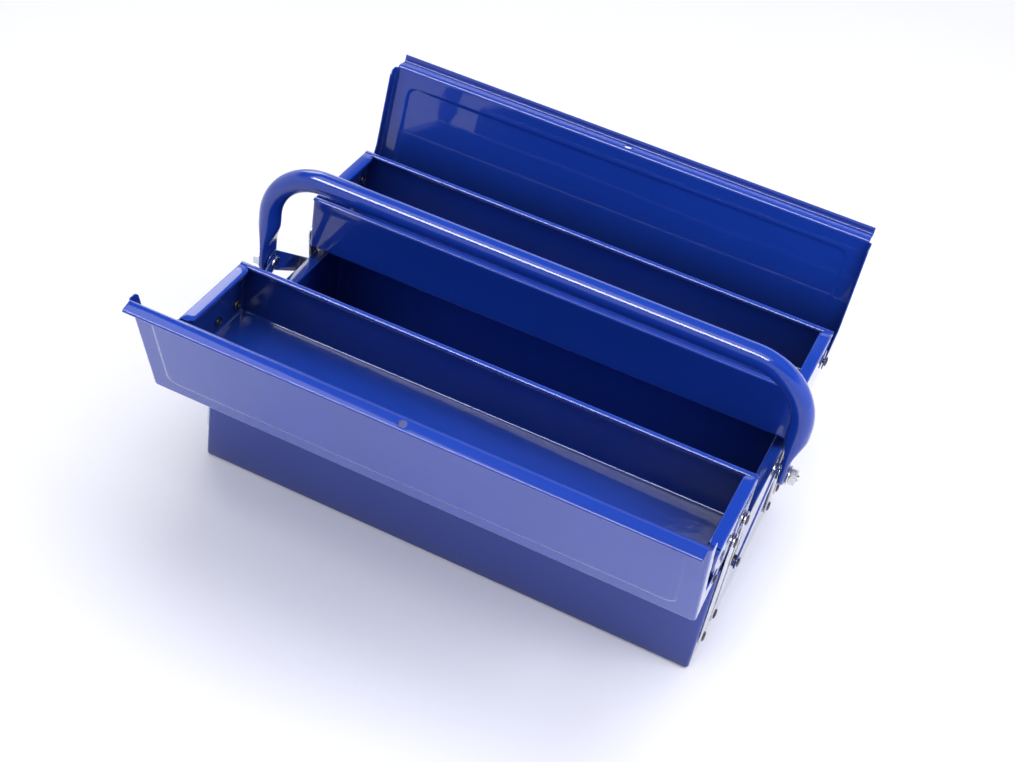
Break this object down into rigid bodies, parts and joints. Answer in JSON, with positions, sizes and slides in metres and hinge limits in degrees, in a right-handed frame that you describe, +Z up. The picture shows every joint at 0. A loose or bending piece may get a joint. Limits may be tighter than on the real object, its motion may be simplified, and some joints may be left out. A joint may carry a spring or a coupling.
{
  "type": "cantilever tool box",
  "caption": "Open sheet-steel cantilever tool box: deep base, trays that swing out on parallel links, hinged lids and a tubular carrying handle on struts.",
  "frame": {"origin": "centre of the base's underside, on the ground", "axes": "+X along the box's length to the right, -Y the front, +Z up"},
  "size_m": [0.4642, 0.4092, 0.2356],
  "materials": {
    "blue_paint": "glossy enamel",
    "zinc_plate": "bright zinc plate",
    "dark_rivet": "dark plated"
  },
  "bodies": {
    "base": {"base_box": "blue_paint", "base_rivet_back_inner_left": "dark_rivet", "base_rivet_back_inner_right": "dark_rivet", "base_rivet_back_outer_left": "dark_rivet", "base_rivet_back_outer_right": "dark_rivet", "base_rivet_front_inner_left": "dark_rivet", "base_rivet_front_inner_right": "dark_rivet", "base_rivet_front_outer_left": "dark_rivet", "base_rivet_front_outer_right": "dark_rivet"},
    "front_inner_links": {"front_inner_link_left": "zinc_plate", "front_inner_link_right": "zinc_plate", "front_strut_rivet_left": "dark_rivet", "front_strut_rivet_right": "dark_rivet"},
    "front_outer_links": {"front_outer_link_left": "zinc_plate", "front_outer_link_right": "zinc_plate"},
    "front_tray": {"front_lid_pin_left": "dark_rivet", "front_lid_pin_right": "dark_rivet", "front_tray": "blue_paint", "front_tray_rivet_inner_left": "dark_rivet", "front_tray_rivet_inner_right": "dark_rivet", "front_tray_rivet_outer_left": "dark_rivet", "front_tray_rivet_outer_right": "dark_rivet"},
    "front_lid": {"front_lid": "blue_paint"},
    "back_inner_links": {"back_inner_link_left": "zinc_plate", "back_inner_link_right": "zinc_plate", "back_strut_rivet_left": "dark_rivet", "back_strut_rivet_right": "dark_rivet"},
    "back_outer_links": {"back_outer_link_left": "zinc_plate", "back_outer_link_right": "zinc_plate"},
    "back_tray": {"back_lid_pin_left": "dark_rivet", "back_lid_pin_right": "dark_rivet", "back_tray": "blue_paint", "back_tray_rivet_inner_left": "dark_rivet", "back_tray_rivet_inner_right": "dark_rivet", "back_tray_rivet_outer_left": "dark_rivet", "back_tray_rivet_outer_right": "dark_rivet"},
    "back_lid": {"back_lid": "blue_paint"},
    "front_struts": {"front_strut_left": "blue_paint", "front_strut_right": "blue_paint"},
    "back_struts": {"back_strut_left": "blue_paint", "back_strut_right": "blue_paint"},
    "handle": {"handle_bolt_left": "zinc_plate", "handle_bolt_right": "zinc_plate", "handle_nut_left": "zinc_plate", "handle_nut_right": "zinc_plate", "handle_tube": "blue_paint", "handle_washer_left": "zinc_plate", "handle_washer_right": "zinc_plate"}
  },
  "joints": [
    {"name": "tray_swing", "type": "hinge", "parent": "base", "child": "front_inner_links", "pos_m": [0, -0.068, 0.03], "axis": [-1, 0, 0], "range_deg": [0, 29.27]},
    {"name": "front_outer_link_swing", "type": "hinge", "parent": "base", "child": "front_outer_links", "pos_m": [0, -0.094, 0.03], "axis": [-1, 0, 0], "range_deg": [0, 29.29]},
    {"name": "front_tray_level", "type": "hinge", "parent": "front_inner_links", "child": "front_tray", "pos_m": [0, -0.07014, 0.13198], "axis": [-1, 0, 0], "range_deg": [-29.29, 0]},
    {"name": "front_lid_hinge", "type": "hinge", "parent": "front_tray", "child": "front_lid", "pos_m": [0, -0.14814, 0.14248], "axis": [-1, 0, 0], "range_deg": [-1.4, 108.6]},
    {"name": "back_link_swing", "type": "hinge", "parent": "base", "child": "back_inner_links", "pos_m": [0, 0.068, 0.03], "axis": [1, 0, 0], "range_deg": [0, 18.59]},
    {"name": "back_outer_link_swing", "type": "hinge", "parent": "base", "child": "back_outer_links", "pos_m": [0, 0.094, 0.03], "axis": [1, 0, 0], "range_deg": [0, 18.59]},
    {"name": "back_tray_level", "type": "hinge", "parent": "back_inner_links", "child": "back_tray", "pos_m": [0, 0.05117, 0.1306], "axis": [1, 0, 0], "range_deg": [-18.59, 0]},
    {"name": "back_lid_hinge", "type": "hinge", "parent": "back_tray", "child": "back_lid", "pos_m": [0, 0.12917, 0.1411], "axis": [1, 0, 0], "range_deg": [-10, 100]},
    {"name": "front_strut_swing", "type": "hinge", "parent": "front_inner_links", "child": "front_struts", "pos_m": [0, -0.06926, 0.08999], "axis": [1, 0, 0], "range_deg": [0, 55.16]},
    {"name": "handle_level", "type": "hinge", "parent": "front_struts", "child": "handle", "pos_m": [0, -0.00532, 0.1307], "axis": [-1, 0, 0], "range_deg": [0, 25.89]},
    {"name": "back_strut_swing", "type": "hinge", "parent": "back_inner_links", "child": "back_struts", "pos_m": [0, 0.0581, 0.08918], "axis": [-1, 0, 0], "range_deg": [0, 43.73]}
  ],
  "couplings": [
    {"joint": "front_outer_link_swing", "follows": "tray_swing", "ratio": 1},
    {"joint": "front_tray_level", "follows": "tray_swing", "ratio": -1},
    {"joint": "back_link_swing", "follows": "tray_swing", "ratio": 0.63447},
    {"joint": "back_outer_link_swing", "follows": "tray_swing", "ratio": 0.63447},
    {"joint": "back_tray_level", "follows": "tray_swing", "ratio": -0.63447},
    {"joint": "front_strut_swing", "follows": "tray_swing", "ratio": 1.8838},
    {"joint": "handle_level", "follows": "tray_swing", "ratio": 0.88382},
    {"joint": "back_strut_swing", "follows": "tray_swing", "ratio": 1.4934}
  ]
}
